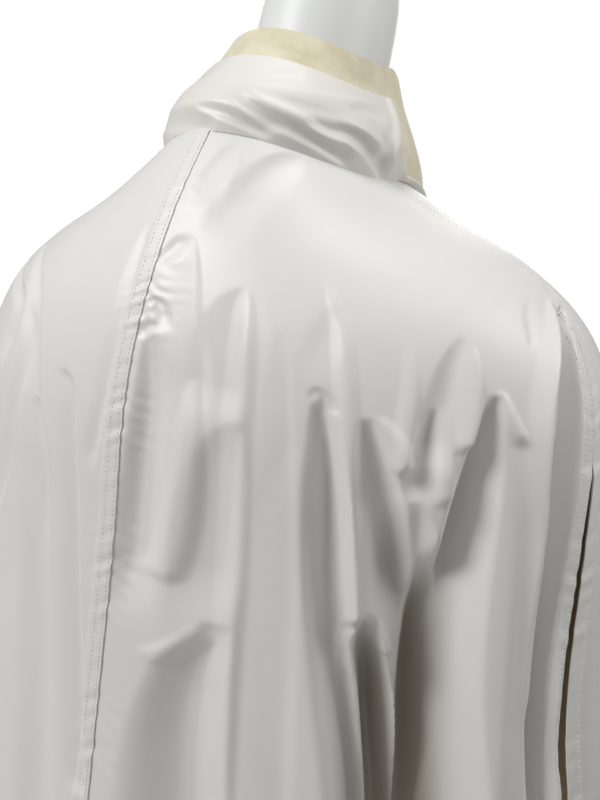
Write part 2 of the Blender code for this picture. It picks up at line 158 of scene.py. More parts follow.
# Finer creases. Each follows its own path down the cloth, from a crisp tip.
CREASES = (
    # path of (angle, along), height_mm, before_mm, after_mm, spread, crisp, onset_mm, fade_mm
    # Beside the centre-back seam, on its right.
    (((3.0, 0.180), (4.4, 0.235), (4.2, 0.276), (3.8, 0.314), (3.6, 0.358), (3.2, 0.41)),
     -8, 11, 16, 1.3, 0.0, 45, 60),
    (((1.0, 0.152), (2.5, 0.147), (4.2, 0.157), (5.2, 0.176)),
     -2.0, 5, 5, 1.0, 0.5, 5, 15),
    (((0.8, 0.185), (2.2, 0.174), (3.6, 0.165)),
     -2.0, 5, 5, 1.0, 0.5, 4, 10),
    (((1.0, 0.113), (3.8, 0.099), (6.8, 0.085)),
     -1.8, 8, 6, 1.0, 0.5, 4, 15),
    (((8.0, 0.088), (9.4, 0.116), (10.5, 0.158), (11.8, 0.184), (12.5, 0.223), (12.6, 0.26)),
     -2.8, 24, 5, 1.2, 0.4, 30, 50),
    (((11.4, 0.215), (11.2, 0.270), (10.4, 0.314), (9.2, 0.345), (7.5, 0.372)),
     4.5, 13, 12, 1.3, 0.0, 60, 14),
    # The hollows that start under the shoulder blade, and the ridge on their right.
    (((20.2, 0.128), (19.0, 0.155), (18.0, 0.186), (18.0, 0.214), (18.3, 0.25)),
     -3.2, 26, 5, 1.2, 0.3, 22, 35),
    (((18.6, 0.245), (17.8, 0.262), (17.0, 0.300), (16.4, 0.346), (16.0, 0.395)),
     -6.0, 28, 10, 1.2, 0.0, 30, 45),
    (((16.8, 0.389), (15.4, 0.402), (14.0, 0.421), (13.0, 0.454), (12.6, 0.48), (12.8, 0.51),
      (14.0, 1.0)),
     -24, 40, 28, 1.4, 0.0, 60, 0),
    (((5.0, 0.424), (8.0, 0.420), (12.0, 0.409), (15.2, 0.394)),
     2.6, 12, 8, 1.0, 0.0, 12, 10),
    (((20.5, 0.129), (19.6, 0.186), (18.8, 0.244), (18.4, 0.301), (18.4, 0.343), (18.0, 0.438),
      (18.4, 1.0)),
     2.2, 9, 7, 1.4, 0.4, 25, 0),
    (((21.2, 0.131), (20.7, 0.194), (20.5, 0.25), (20.2, 0.343), (20.0, 0.6)),
     -1.0, 4, 12, 1.4, 0.2, 20, 60),
    (((26.2, 0.165), (25.6, 0.226), (25.5, 0.298), (25.4, 1.0)),
     -1.5, 14, 5, 1.8, 0.3, 60, 0),
    # The valley right of the smooth middle, and the pressed ridge on its right.
    (((36.2, 0.145), (33.5, 0.177), (31.6, 0.205), (31.0, 0.216)),
     -2.0, 16, 9, 1.0, 0.1, 25, 45),
    (((29.4, 0.226), (30.6, 0.219), (32.2, 0.226), (32.8, 0.238)),
     -1.5, 4, 3, 1.0, 0.4, 4, 6),
    (((27.6, 0.26), (26.6, 0.298), (27.2, 0.363), (29.0, 0.412), (31.6, 0.487), (35.0, 1.0)),
     3.5, 26, 8, 1.6, 0.4, 60, 0),
    (((31.0, 0.222), (31.4, 0.240), (31.9, 0.27), (32.3, 0.310), (32.6, 0.36), (33.4, 0.41),
      (35.5, 0.49), (38.0, 1.0)),
     -19, 18, 7, 1.5, 0.3, 55, 0),
    (((37.0, 0.12), (36.0, 0.168), (35.2, 0.202), (34.5, 0.249), (34.0, 0.30), (33.3, 0.345),
      (33.2, 0.387), (34.2, 0.43)),
     3.2, 6, 6, 1.4, 0.4, 40, 25),
    # The hook with its valley, and the fingers right of it.
    (((37.6, 0.240), (38.2, 0.255), (39.0, 0.275), (40.0, 0.300), (41.0, 0.327), (42.0, 0.355),
      (43.2, 0.395)),
     -15, 20, 7, 1.3, 0.2, 34, 60),
    (((39.6, 0.238), (40.6, 0.250), (41.6, 0.268), (42.2, 0.283)),
     3.5, 6, 7, 1.2, 0.3, 16, 9),
    (((47.0, 0.18), (44.8, 0.22), (43.0, 0.25), (41.8, 0.281)),
     3.5, 10, 8, 0.8, 0.1, 60, 10),
    (((48.0, 0.236), (46.4, 0.258), (44.8, 0.282), (43.6, 0.31)),
     -5.5, 12, 7, 1.3, 0.2, 18, 30),
    (((56.2, 0.182), (53.2, 0.203), (50.8, 0.224), (48.6, 0.248), (46.6, 0.285)),
     -4.5, 14, 8, 1.3, 0.2, 30, 30),
    (((49.8, 0.235), (48.8, 0.262), (47.4, 0.305)),
     3.5, 8, 6, 0.9, 0.2, 25, 10),
    (((57.4, 0.19), (55.4, 0.225), (53.2, 0.252), (51.6, 0.269)),
     4.0, 10, 6, 0.8, 0.2, 40, 9),
    # The longest hook, which runs down and to the left, and the smooth cone under it.
    (((58.8, 0.230), (57.0, 0.253), (54.7, 0.284), (52.5, 0.316), (50.6, 0.348), (49.2, 0.380),
      (48.3, 0.415), (47.8, 0.46), (47.6, 1.0)),
     -27, 20, 11, 1.5, 0.1, 45, 0),
    (((59.8, 0.226), (60.6, 0.25), (61.8, 0.270)),
     3.0, 7, 6, 0.8, 0.3, 14, 12),
    (((59.6, 0.27), (58.6, 0.303), (56.9, 0.345), (55.4, 0.392), (54.2, 0.45), (53.6, 1.0)),
     5, 20, 28, 1.5, 0.0, 70, 0),
    (((61.2, 0.285), (60.6, 0.32), (58.6, 0.39), (56.4, 0.486), (56.0, 1.0)),
     -4, 16, 10, 1.6, 0.1, 110, 0),
    # The crisp edge before the arm slit, and the valley behind it.
    (((86.0, 0.160), (76.0, 0.200), (68.4, 0.243), (64.4, 0.288), (62.8, 0.33), (61.4, 0.41),
      (61.0, 0.45)),
     6, 14, 5, 1.2, 0.7, 35, 25),
    (((88.0, 0.170), (80.5, 0.205), (74.5, 0.256), (70.0, 0.297), (66.8, 0.336), (64.6, 0.373),
      (62.8, 0.42), (61.4, 0.6), (61.4, 1.0)),
     -19, 17, 8, 0.9, 0.1, 40, 0),
    # The broad dark valley low on the back.
    (((43.4, 0.30), (46.0, 0.38), (46.8, 0.45), (47.0, 0.60), (47.6, 1.0)),
     -42, 68, 20, 1.3, 0.0, 100, 0),
    # The deepest hook in it, and the finger right of it.
    (((34.0, 0.392), (34.8, 0.384), (36.2, 0.379), (37.4, 0.383), (38.2, 0.392)),
     -3.0, 4, 3, 1.0, 0.5, 4, 4),
    (((36.4, 0.379), (37.2, 0.388), (38.2, 0.404), (39.4, 0.426), (40.2, 0.45), (41.0, 0.485),
      (42.5, 1.0)),
     -30, 25, 7, 1.4, 0.2, 20, 0),
    (((33.6, 0.388), (34.2, 0.402), (34.9, 0.418), (36.0, 0.446), (37.2, 0.484), (38.0, 0.6)),
     5, 8, 5, 1.5, 0.5, 10, 60),
    (((38.2, 0.380), (39.2, 0.395), (40.4, 0.409)),
     5.5, 5, 7, 0.9, 0.3, 12, 7),
    (((41.6, 0.43), (41.8, 0.462), (41.5, 0.52), (41.5, 0.75)),
     4, 9, 8, 1.6, 0.1, 20, 80),
    # Faint wrinkles on the shoulder.
    (((79.0, 0.158), (74.0, 0.172), (71.0, 0.188)),
     -0.9, 4, 3, 1.0, 0.3, 8, 10),
    (((77.0, 0.170), (73.0, 0.182), (69.5, 0.200)),
     -0.8, 3, 3, 1.0, 0.3, 6, 8),
    # Left of the centre-back seam.
    (((-6.2, 0.080), (-4.5, 0.143), (-4.0, 0.186), (-4.2, 0.234), (-5.5, 0.303)),
     -1.6, 8, 3, 1.0, 0.8, 20, 20),
    (((-13.8, 0.229), (-11.8, 0.241), (-9.8, 0.284), (-5.5, 0.408), (-2.8, 0.483), (-1.2, 0.53)),
     -3.5, 14, 3, 1.0, 0.9, 7, 10),
    (((-54.0, 0.131), (-33.5, 0.173), (-21.5, 0.268), (-17.0, 0.343), (-10.5, 0.492), (-5.0, 1.0)),
     -6, 14, 10, 2.0, 0.2, 40, 0),
    (((-69.0, 0.163), (-50.0, 0.18), (-38.2, 0.192), (-35.2, 0.261)),
     -4, 12, 8, 1.0, 0.4, 30, 40),
    (((-34.0, 0.185), (-29.5, 0.212), (-27.2, 0.293), (-29.2, 0.40)),
     -4, 12, 8, 1.0, 0.4, 30, 60),
    (((-22.0, 0.266), (-18.0, 0.304), (-14.0, 0.387)),
     -3, 6, 14, 1.4, 0.6, 7, 60),
    # Under the collar.
    (((37.0, 0.006), (26.2, 0.037), (19.2, 0.062), (14.0, 0.10)),
     -3, 15, 15, 1.2, 0.0, 12, 45),
    (((14.0, 0.010), (9.5, 0.039), (9.2, 0.070)),
     -2, 10, 10, 1.2, 0.0, 12, 30),
)
COLLAR_CREASES = (
    # path of (angle, up), height_mm, below_mm, above_mm, spread, crisp, onset_mm, fade_mm
    (((5.0, 0.50), (15.0, 0.52), (23.0, 0.56), (36.0, 0.61)),
     -2.0, 2.5, 5, 1.2, 0.6, 8, 12),
    (((0.0, 0.43), (17.0, 0.455), (29.0, 0.49), (38.0, 0.50), (46.0, 0.52), (68.0, 0.60)),
     1.3, 6, 3, 1.0, 0.7, 10, 18),
    (((-10.0, 0.24), (7.0, 0.16), (17.0, 0.11), (30.0, 0.06)),
     -2.4, 3, 4.5, 1.2, 0.6, 8, 10),
    (((6.0, 0.33), (19.0, 0.24), (28.0, 0.20), (38.0, 0.165), (48.0, 0.13), (64.0, 0.07)),
     -3.0, 3.5, 6.5, 1.2, 0.4, 12, 10),
    (((12.0, 0.39), (24.0, 0.30), (38.0, 0.25), (50.0, 0.18), (62.0, 0.12)),
     1.6, 4, 4, 1.0, 0.5, 10, 14),
    (((38.0, 0.27), (49.0, 0.265), (57.0, 0.28), (64.0, 0.25), (71.0, 0.18), (84.0, 0.03)),
     -4.0, 3.5, 5.5, 1.2, 0.5, 9, 6),
    (((52.0, 0.35), (62.0, 0.35), (70.0, 0.29), (78.0, 0.18)),
     1.8, 2.5, 5, 1.0, 0.7, 8, 12),
    (((54.0, 0.49), (68.0, 0.53), (80.0, 0.51)),
     -1.5, 2.5, 4, 1.0, 0.6, 8, 10),
    (((12.0, 0.25), (23.0, 0.165), (34.0, 0.12)),
     -1.4, 2, 3, 1.0, 0.6, 6, 8),
    (((26.0, 0.37), (44.0, 0.36), (58.0, 0.40)),
     -1.0, 3, 4, 1.0, 0.4, 8, 12),
    (((-72.0, 0.40), (-40.0, 0.22), (-18.0, 0.12), (4.0, 0.02)),
     -2.2, 7, 10, 1.0, 0.1, 20, 10),
    (((-60.0, 0.62), (-35.0, 0.56), (-12.0, 0.58)),
     -1.2, 5, 7, 1.0, 0.2, 14, 16),
    (((-48.0, 0.40), (-28.0, 0.36), (-8.0, 0.34)),
     -1.0, 4, 5, 1.0, 0.3, 14, 16),
    (((82.0, 0.0), (85.0, 0.3), (87.0, 0.72)),
     2.2, 6, 5, 1.0, 0.4, 3, 0),
    (((77.0, 0.06), (78.0, 0.25), (77.0, 0.44)),
     -1.8, 4, 4, 1.0, 0.3, 4, 12),
)

# How wide a crease is at its tip, as a share of its width further down.
TIP_WIDTH = 0.22
# The steps of a crease's path, and the body radius that its turns are measured on.
PATH_STEPS = 50
PATH_RADIUS = 0.22
# The radius that a crease's crest is rounded to.
CREST_RADIUS = 0.0022
# A path that falls everywhere by more than this share of what it runs across has no hook.
FALLING_SHARE = 0.3

# Similar creases on the hidden sides: (first, last, middle, turned, share).
# Rows from first up to last of the table, last left out, are moved to middle + turned * angle.
SIMILAR_CREASES = (
    (18, 36, -40.0, -1.0, 0.8),
    (9, 30, 198.0, -1.1, 0.7),
    (14, 36, 172.0, 1.0, 0.7),
)

# The depths of fold, in metres, between which painted shade turns the cloth to its darker, warmer
# tone.
PAINTED_FOLD_SHADE_DEPTHS = (0.010, 0.052)

# The stitched seams.
FELL_WIDTH = 0.011
FELL_EDGE = 0.0008
FELL_LIFT = 0.0011
FELL_TUCK = 0.0015
PUCKER_HEIGHT = 0.0009
PUCKER_REACH = 0.011
PUCKER_SWELL = 0.117
PUCKER_SWELL_SHARE = 0.4
PUCKER_WAVES = ((0.0113, 0.4), (0.0171, 1.9), (0.0263, 4.1))
PUCKER_START_RANGE = (0.02, 0.06)
PUCKER_CALM_RANGE = (0.5, 0.7)
PUCKER_CALMED = 0.6
BACK_PUCKER_TILT = -0.8
SIDE_PUCKER_TILT = 0.7
SIDE_PUCKER_SHARE = 0.5
BINDING_WIDTH = 0.009
BINDING_LIFT = 0.0012
SLIT_EASE = 0.035
HEM_DEPTH = 0.018
STITCH_PITCH = 0.0030
STITCH_LENGTH = 0.0022
STITCH_RADIUS = 0.00030
# A stitch's square rings, as shares of its length, and its height over the cloth in radii.
STITCH_SIDES = 4
STITCH_RINGS = (0.25, 0.75)
STITCH_POINTS = 2 + STITCH_SIDES * len(STITCH_RINGS)
STITCH_SINK = 0.5
STITCH_RISE = 0.1
STITCH_ROWS = {
    # panel: (edge column, distance from the edge)
    "back_left": ((-1, 0.0022), (-1, 0.0085), (0, 0.0020), (0, 0.0080)),
    "back_right": ((-1, 0.0020), (-1, 0.0080)),
    "front_left": ((0, 0.0050), (-1, 0.0080)),
    "front_right": ((0, 0.0080), (-1, 0.0050)),
}

# Odd counts, because the inner face has every second row and column.
PANEL_ROWS = 335
PANEL_COLUMNS = 229
COLLAR_COLUMNS = 401
COLLAR_ROWS = 49
# Most rows lie above the waist, and the columns crowd at a panel's edges.
ROWS_ABOVE = 0.75
ALONG_ABOVE = 0.56
EDGE_CROWDING = 2.0
EDGE_CROWDED_WIDTH = 0.03
# How often the inner face is pushed in, and the share of its thickness that the cloth keeps.
INNER_PASSES = 4
INNER_SHARE = 0.6

ROUND = 360.0
CLOTH_SHARP_ANGLE = 55.0
STEEL_SHARP_ANGLE = 30.0
JOINED_ANGLE = 60.0
WELD_DISTANCE = 0.01 * MM

# The colour of the painted shade that darkens and warms the deep folds.
PAINTED_FOLD_SHADE_TONE = (0.54, 0.485, 0.42)
BACK_TONES = ((0.815, 0.808, 0.785), (0.840, 0.832, 0.808))
COLLAR_TONES = ((0.835, 0.808, 0.765), (0.860, 0.836, 0.800))
LINING_TONES = ((0.62, 0.50, 0.33), (0.70, 0.58, 0.40))
THREAD_TONES = ((0.82, 0.79, 0.74), (0.90, 0.88, 0.85))
NAP_TONES = ((0.70, 0.63, 0.43), (0.82, 0.77, 0.60))
FORM_TONES = ((0.84, 0.86, 0.85), (0.87, 0.885, 0.875))
STEEL_TONES = ((0.50, 0.50, 0.50), (0.62, 0.62, 0.61))
STEEL_ROUGHNESS = (0.25, 0.42)
# The part of a texture's range over which one tone turns into the other.
BLEND_RANGE = (0.35, 0.65)


def smooth_step(low, high, value):
    share = np.clip((value - low) / (high - low), 0.0, 1.0)
    return share * share * (3.0 - 2.0 * share)


def through(rows, column, along):
    """The smooth curve of one column of a table over its first column."""
    table = np.array(rows)
    places = table[:, 0]
    values = table[:, column]
    slopes = np.gradient(values, places)
    here = np.clip(along, places[0], places[-1])
    k = np.clip(np.searchsorted(places, here, side="right") - 1, 0, len(places) - 2)
    span = places[k + 1] - places[k]
    t = (here - places[k]) / span
    start = (2 * t**3 - 3 * t**2 + 1) * values[k] + (t**3 - 2 * t**2 + t) * span * slopes[k]
    end = (3 * t**2 - 2 * t**3) * values[k + 1] + (t**3 - t**2) * span * slopes[k + 1]
    return start + end


def ring_shape(angle, squareness):
    """The sine and cosine that shape a ring. Squareness runs from 0 for an even ring up to 1."""
    turn = np.radians(angle)
    sine = np.sin(turn)
    cosine = np.cos(turn)
    power = 1.0 + (FRONT_SQUARENESS - 1.0) * np.clip(squareness, 0.0, 1.0)
    power = np.where(cosine < 0.0, power, 1.0)
    return np.copysign(np.abs(sine) ** power, sine), np.copysign(np.abs(cosine) ** power, cosine)


def cape_base(angle, along):
    """Points on the cape before its folds."""
    sine, cosine = ring_shape(angle, 1.0 - along / SQUARENESS_FADE)
    side_x = through(CAPE_RINGS, 3, along)
    side_z = through(CAPE_RINGS, 4, along)
    behind = cosine >= 0.0
    depth = np.where(behind, through(CAPE_RINGS, 1, along), through(CAPE_RINGS, 5, along))
    edge_z = np.where(behind, through(CAPE_RINGS, 2, along), through(CAPE_RINGS, 6, along))
    height = side_z + (edge_z - side_z) * cosine * cosine
    return np.stack((-side_x * sine, depth * cosine, height), axis=-1)


def apart(angle, centre):
    """How far an angle lies past another, from -180 to 180 degrees."""
    return (angle - centre + ROUND / 2) % ROUND - ROUND / 2


def broad_depth(angle, along):
    """How far the broad folds push the cloth in, in metres."""
    total = np.zeros(np.broadcast(angle, along).shape)
    for tip_angle, tip, hook, lean, width, depth in BROAD_FOLDS:
        run = np.clip((along - tip) / (1.0 - tip), 0.0, 1.0)
        started = smooth_step(tip, tip + FOLD_TIP_LENGTH, along)
        centre = tip_angle + hook * started + lean * run
        away = np.minimum(np.abs(apart(angle, centre)) / width, 1.0)
        trough = 0.5 + 0.5 * np.cos(math.pi * away)
        total += depth * trough * started * (1.0 + FOLD_GROWTH * run)
    return total


def ring_radius(along):
    """The mean radius of the cape's ring, which turns its angles into lengths."""
    return 0.5 * (through(CAPE_RINGS, 3, along) + through(CAPE_RINGS, 1, along))


def eased_path(path):
    """A smooth line through a path's points, which are angles and shares of a length."""
    points = np.array(path)
    turns = np.radians(np.diff(points[:, 0])) * PATH_RADIUS
    steps = np.hypot(turns, np.diff(points[:, 1]) * CAPE_LENGTH)
    passed = np.concatenate(((0.0,), np.cumsum(steps)))
    rows = np.column_stack((passed, points))
    here = np.linspace(0.0, passed[-1], PATH_STEPS)
    return through(rows, 1, here), through(rows, 2, here)


def along_path(across, down, line_across, line_down):
    """For each point, how far it lies from a line, on which side, and how far down the line."""
    nearest = np.full(across.shape, np.inf)
    side = np.zeros(across.shape)
    run = np.zeros(across.shape)
    passed = 0.0
    for k in range(len(line_across) - 1):
        step_across = line_across[k + 1] - line_across[k]
        step_down = line_down[k + 1] - line_down[k]
        length = math.hypot(step_across, step_down)
        off_across = across - line_across[k]
        off_down = down - line_down[k]
        share = np.clip((off_across * step_across + off_down * step_down) / length**2, 0.0, 1.0)
        away = np.hypot(off_across - share * step_across, off_down - share * step_down)
        closer = away < nearest
        nearest = np.where(closer, away, nearest)
        side = np.where(closer, np.sign(off_across * step_down - off_down * step_across), side)
        run = np.where(closer, passed + share * length, run)
        passed += length
    return nearest, side, run, passed


def down_path(across, down, line_across, line_down):
    """The same as along_path, without kinks, for a line that only runs down."""
    slope = np.gradient(line_across, line_down)
    centre = np.interp(down, line_down, line_across)
    beside = (across - centre) / np.hypot(1.0, np.interp(down, line_down, slope))
    past_ends = np.maximum(line_down[0] - down, 0.0) + np.maximum(down - line_down[-1], 0.0)
    steps = np.hypot(np.diff(line_across), np.diff(line_down))
    passed = np.concatenate(((0.0,), np.cumsum(steps)))
    run = np.interp(down, line_down, passed)
    return np.hypot(beside, past_ends), np.sign(beside), run, passed[-1]


def crease_height(across, down, line, sizes):
    """How far one crease lifts the cloth, in metres."""
    height, before, after, spread, crisp, onset, fade = sizes
    falls = np.diff(line[1]) > FALLING_SHARE * np.abs(np.diff(line[0]))
    measure = down_path if falls.all() else along_path
    away, side, run, length = measure(across, down, *line)
    grown = 1.0 - np.exp(-run / (onset * MM))
    widening = (TIP_WIDTH + (1.0 - TIP_WIDTH) * grown) * (1.0 + (spread - 1.0) * run / length)
    width = np.where(side < 0.0, before, after) * MM * widening
    rounded = np.hypot(away, CREST_RADIUS) - CREST_RADIUS
    x = np.minimum(rounded / width, 1.0)
    profile = (1.0 - x) ** 2 * (1.0 + 2.0 * x * (1.0 - crisp))
    strength = grown
    if fade > 0.0:
        strength = strength * (1.0 - smooth_step(length - fade * MM, length, run))
    return height * MM * profile * strength


def add_crease(total, across, down, line, sizes):
    """Adds one crease's height where it reaches."""
    reach = max(sizes[1], sizes[2]) * MM * max(sizes[3], 1.0) + 2.0 * CREST_RADIUS
    near = (across > line[0].min() - reach) & (across < line[0].max() + reach)
    near &= (down > line[1].min() - reach) & (down < line[1].max() + reach)
    if near.any():
        total[near] += crease_height(across[near], down[near], line, sizes)


def all_creases():
    """The listed creases, and similar ones on the sides that the photograph hides."""
    yield from CREASES
    for first, last, middle, turned, share in SIMILAR_CREASES:
        for path, height, *sizes in CREASES[first:last]:
            moved = tuple((middle + turned * angle, along) for angle, along in path)
            if turned < 0.0:
                sizes = [sizes[1], sizes[0], *sizes[2:]]
            yield (moved, height * share, *sizes)


def fine_height(angle, along):
    """How far the finer creases lift the cloth, in metres."""
    angle, along = np.broadcast_arrays(angle, along)
    total = np.zeros(angle.shape)
    radius = ring_radius(along)
    down = along * CAPE_LENGTH
    for path, *sizes in all_creases():
        angles, alongs = eased_path(path)
        middle = angles.mean()
        across = np.radians(apart(angle, middle)) * radius
        line_across = np.radians(angles - middle) * ring_radius(alongs)
        add_crease(total, across, down, (line_across, alongs * CAPE_LENGTH), sizes)
    return total


def ripples(down, shift):
    """Uneven waves along a seam, from -1 to 1."""
    total = 0.0
    for period, phase in PUCKER_WAVES:
        total = total + np.sin(2.0 * math.pi * (down + shift) / period + phase) / len(PUCKER_WAVES)
    swell = np.sin(2.0 * math.pi * down / PUCKER_SWELL)
    return total * (1.0 - PUCKER_SWELL_SHARE + PUCKER_SWELL_SHARE * swell)


def pucker_height(from_seam, along, tilt):
    """How far a stitched seam puckers the cloth beside it."""
    away = np.abs(from_seam)
    reach = np.exp(-(away / PUCKER_REACH) ** 2)
    calmer = 1.0 - PUCKER_CALMED * smooth_step(*PUCKER_CALM_RANGE, along)
    return PUCKER_HEIGHT * reach * calmer * ripples(along * CAPE_LENGTH, tilt * away)


def seam_height(angle, along, felled):
    """The relief of the stitched seams: the felled band and the puckers beside them."""
    angle, along = np.broadcast_arrays(angle, along)
    radius = ring_radius(along)
    from_back = np.radians(apart(angle, 0.0)) * radius
    total = pucker_height(from_back, along, BACK_PUCKER_TILT)
    total = total * smooth_step(*PUCKER_START_RANGE, along)
    for sign in (1.0, -1.0):
        from_side = np.radians(apart(angle, sign * side_seam(along))) * radius
        total = total + SIDE_PUCKER_SHARE * pucker_height(from_side, along, SIDE_PUCKER_TILT)
    if felled:
        band = 1.0 - smooth_step(FELL_WIDTH - FELL_EDGE, FELL_WIDTH + FELL_EDGE, -from_back)
        total = total + FELL_LIFT * band
    return total


def cape_surface(angle, along, felled=False):
    """Points on the cape's outer face, with all its folds."""
    point = cape_base(angle, along)
    inward = np.stack((-point[..., 0], -point[..., 1], np.zeros(point.shape[:-1])), axis=-1)
    inward /= np.linalg.norm(inward, axis=-1, keepdims=True)
    depth = broad_depth(angle, along) - fine_height(angle, along) - seam_height(angle, along, felled)
    return point + inward * depth[..., None]


def grid_normals(points):
    """Outward normals of a grid of points that runs down in rows and round in columns."""
    down = np.gradient(points, axis=0)
    round_body = np.gradient(points, axis=1)
    normal = np.cross(down, round_body)
    return normal / np.linalg.norm(normal, axis=-1, keepdims=True)


def grid_faces(index):
    """The four-sided faces of a grid of point numbers."""
    a = index[:-1, :-1].ravel()
    b = index[:-1, 1:].ravel()
    c = index[1:, 1:].ravel()
    d = index[1:, :-1].ravel()
    return np.stack((a, d, c, b), axis=1)


def rim_of(index):
    """The point numbers round the edge of a grid."""
    return np.concatenate((index[0, :-1], index[:-1, -1], index[-1, :0:-1], index[:0:-1, 0]))


def between(grid, axis):
    """A grid with a new point halfway between each two neighbours along an axis."""
    rows = np.moveaxis(grid, axis, 0)
    full = np.empty((2 * len(rows) - 1, *rows.shape[1:]))
    full[::2] = rows
    full[1::2] = 0.5 * (rows[:-1] + rows[1:])
    return np.moveaxis(full, 0, axis)


def inner_face(outer, normals, thickness):
    """The coarser inner face, pushed in wherever it would come through a sharp fold."""
    depth = np.full(outer[::2, ::2, 0].shape, thickness)
    inward = -normals[::2, ::2]
    for _ in range(INNER_PASSES):
        inner = outer[::2, ::2] + inward * depth[..., None]
        full = between(between(inner, 0), 1)
        short = np.einsum("ijk,ijk->ij", full - outer, normals) + INNER_SHARE * thickness
        short = np.pad(np.maximum(short, 0.0), 1)
        worst = np.zeros(outer.shape[:2])
        for down in range(3):
            for right in range(3):
                worst = np.maximum(worst, short[down:down + len(outer), right:right + len(outer[0])])
        depth = depth + worst[::2, ::2]
    return outer[::2, ::2] + inward * depth[..., None]


def shell_mesh(name, outer, inner, uv):
    """A thin closed shell from two grids of points, with its flat lengths in metres as UV.

    The inner grid has every second row and column of the outer one.
    """
    rows, columns = outer.shape[:2]
    index = np.arange(rows * columns).reshape(rows, columns)
    inner_index = rows * columns + np.arange(inner[..., 0].size).reshape(inner.shape[:2])
    outside = rim_of(index)
    inside = rim_of(inner_index)
    here = outside[0::2]
    middle = outside[1::2]
    ahead = np.roll(here, -1)
    inside_ahead = np.roll(inside, -1)
    back = grid_faces(inner_index)[:, ::-1]
    edge = np.concatenate((np.stack((here, middle, inside), axis=1),
                           np.stack((middle, inside_ahead, inside), axis=1),
                           np.stack((middle, ahead, inside_ahead), axis=1)))
    faces = grid_faces(index).tolist() + edge.tolist() + back.tolist()
    mesh = bpy.data.meshes.new(name)
    points = np.concatenate((outer.reshape(-1, 3), inner.reshape(-1, 3)))
    mesh.from_pydata(points.tolist(), [], faces)
    layer = mesh.uv_layers.new(name="flat")
    both = np.concatenate((uv.reshape(-1, 2), uv[::2, ::2].reshape(-1, 2)))
    loops = np.empty(len(mesh.loops), dtype=np.int32)
    mesh.loops.foreach_get("vertex_index", loops)
    layer.data.foreach_set("uv", both[loops].astype(np.float32).ravel())
    slots = np.zeros(len(faces), dtype=np.int32)
    slots[-len(back):] = 1
    mesh.polygons.foreach_set("material_index", slots)
    mesh.shade_smooth()
    mesh.set_sharp_from_angle(angle=math.radians(CLOTH_SHARP_ANGLE))
    return mesh


def put(name, mesh, looks, replaced=()):
    made = bpy.data.objects.new(name, mesh)
    bpy.context.scene.collection.objects.link(made)
    for look in looks:
        made.data.materials.append(look)
    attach(made, "root")
    if replaced:
        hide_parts(*replaced)
    return made


def crowded(count, edge_weight, edge_width):
    """Places from 0 to 1 that lie closer together near both ends."""
    middle = (np.arange(count) + 0.5) / count
    nearest_end = np.minimum(middle, 1.0 - middle)
    gaps = 1.0 / (1.0 + edge_weight * np.exp(-nearest_end / edge_width))
    places = np.concatenate(((0.0,), np.cumsum(gaps)))
    return places / places[-1]


def side_seam(along):
    """The right side seam's angle. It swings to the back below the shoulder."""
    return 90.0 - SIDE_SEAM_TURN * smooth_step(SIDE_SEAM_TURN_START, SIDE_SEAM_TURN_END, along)


def slit_opening(height):
    """Half the width of the arm slit at this height."""
    middle = (SLIT_TOP_Z + SLIT_BOTTOM_Z) / 2
    half = (SLIT_TOP_Z - SLIT_BOTTOM_Z) / 2
    reach = np.minimum(np.abs(height - middle) / half, 1.0)
    return SLIT_HALF_WIDTH * np.sqrt(1.0 - reach**4)


def panel_rows():
    """Rows of the cape's grids: most of them lie above the waist."""
    share = np.linspace(0.0, 1.0, PANEL_ROWS)
    above = share / ROWS_ABOVE * ALONG_ABOVE
    below = ALONG_ABOVE + (share - ROWS_ABOVE) / (1.0 - ROWS_ABOVE) * (1.0 - ALONG_ABOVE)
    return np.where(share < ROWS_ABOVE, above, below)


def ease_edges(panel, points, normals, slit_at):
    """Opens a panel's edges for the seam gap, the arm slit and the felled seam's tuck."""
    for column, sign in ((0, 1), (-1, -1)):
        tangent = sign * (points[:, column + 2 * sign] - points[:, column])
        tangent = sign * tangent / np.linalg.norm(tangent, axis=-1, keepdims=True)
        from_edge = np.linalg.norm(points - points[:, column][:, None], axis=-1)
        tucked = panel == "back_right" and column == 0
        shift = np.full(len(tangent), -FELL_TUCK if tucked else SEAM_GAP / 2)
        if column == slit_at:
            opening = slit_opening(points[:, column, 2])
            shift = shift + opening
            bound = 1.0 - smooth_step(BINDING_WIDTH, BINDING_WIDTH + 2.0 * FELL_EDGE, from_edge)
            lift = BINDING_LIFT * bound * smooth_step(0.0, SLIT_HALF_WIDTH / 2, opening)[:, None]
            points = points + normals * lift[..., None]
        ease = (1.0 - smooth_step(0.0, SLIT_EASE, from_edge)) * shift[:, None]
        points = points + tangent[:, None] * ease[..., None]
    return points


